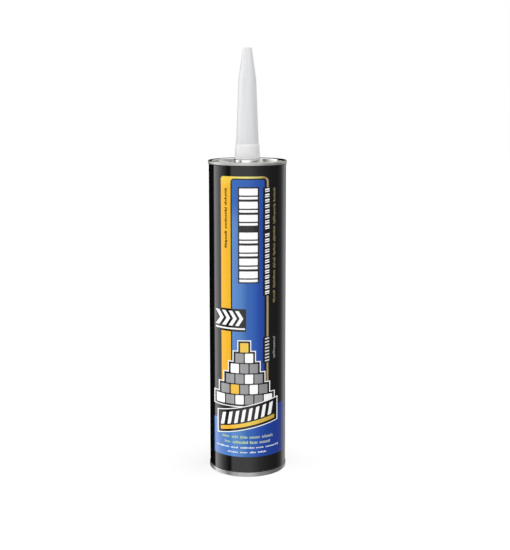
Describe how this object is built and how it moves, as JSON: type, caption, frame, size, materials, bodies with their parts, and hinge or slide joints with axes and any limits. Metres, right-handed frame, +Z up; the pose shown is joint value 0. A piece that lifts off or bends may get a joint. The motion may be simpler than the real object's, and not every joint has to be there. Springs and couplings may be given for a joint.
{
  "type": "polyurethane adhesive cartridge",
  "caption": "Upright round board cartridge with seamed steel ends, a printed paper label, a tapered plastic nozzle and a sliding rear piston.",
  "frame": {"origin": "centre of the base, at the foot of the rear ring", "axes": "+Z up along the tube towards the nozzle, -Y out of the front of the label"},
  "size_m": [0.052, 0.052, 0.28],
  "materials": {
    "board": "spiral-wound kraft board",
    "label_paper": "glossy black label paper",
    "ink_blue": "glossy blue print",
    "ink_yellow": "glossy yellow print",
    "ink_gold": "glossy gold print",
    "ink_white": "glossy white print",
    "ink_grey": "glossy grey print",
    "ink_green": "glossy pale green print",
    "tinplate": "bright tinplate",
    "nozzle_plastic": "natural polyethylene, satin",
    "foil": "sealing foil",
    "piston_plastic": "moulded polyethylene",
    "adhesive": "thick tan paste"
  },
  "bodies": {
    "cartridge": {"body_tube": "board", "label_wrap": "label_paper", "print_blue": "ink_blue", "print_yellow": "ink_yellow", "print_gold": "ink_gold", "print_white": "ink_white", "print_grey": "ink_grey", "print_green": "ink_green", "top_end": "tinplate", "nozzle": "nozzle_plastic", "nozzle_foil": "foil", "rear_ring": "tinplate", "adhesive_fill": "adhesive"},
    "piston": {"piston": "piston_plastic"}
  },
  "joints": [
    {"name": "piston_slide", "type": "slide", "parent": "cartridge", "child": "piston", "axis": [0, 0, 1], "range_m": [0, 0.1756], "deforming": ["adhesive_fill"]}
  ]
}
